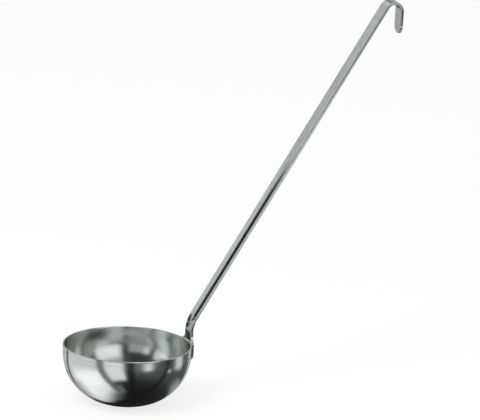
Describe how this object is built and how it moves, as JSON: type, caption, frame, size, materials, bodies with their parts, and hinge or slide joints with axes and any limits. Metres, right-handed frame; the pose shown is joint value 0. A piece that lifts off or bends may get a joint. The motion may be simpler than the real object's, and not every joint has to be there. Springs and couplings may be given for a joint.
{
  "type": "soup ladle",
  "caption": "Soup ladle with a deep round bowl and a long bent strip handle that ends in a hanging hook, all in stainless steel.",
  "frame": {"origin": "centre of the bowl's flat base, on its outer face", "axes": "+Z along the bowl's axis with the mouth up, +X from the bowl's axis towards the handle, +Y across the handle"},
  "size_m": [0.2667, 0.1, 0.3108],
  "materials": {
    "bowl_steel": "deep-drawn stainless sheet, polished with a fine satin grain",
    "handle_steel": "stainless strip, satin along its length with tumbled edges",
    "weld_steel": "weld nugget of the same steel, closed in between the two sheets"
  },
  "bodies": {
    "root": {"bowl": "bowl_steel", "handle": "handle_steel", "spot_welds": "weld_steel"}
  },
  "joints": []
}
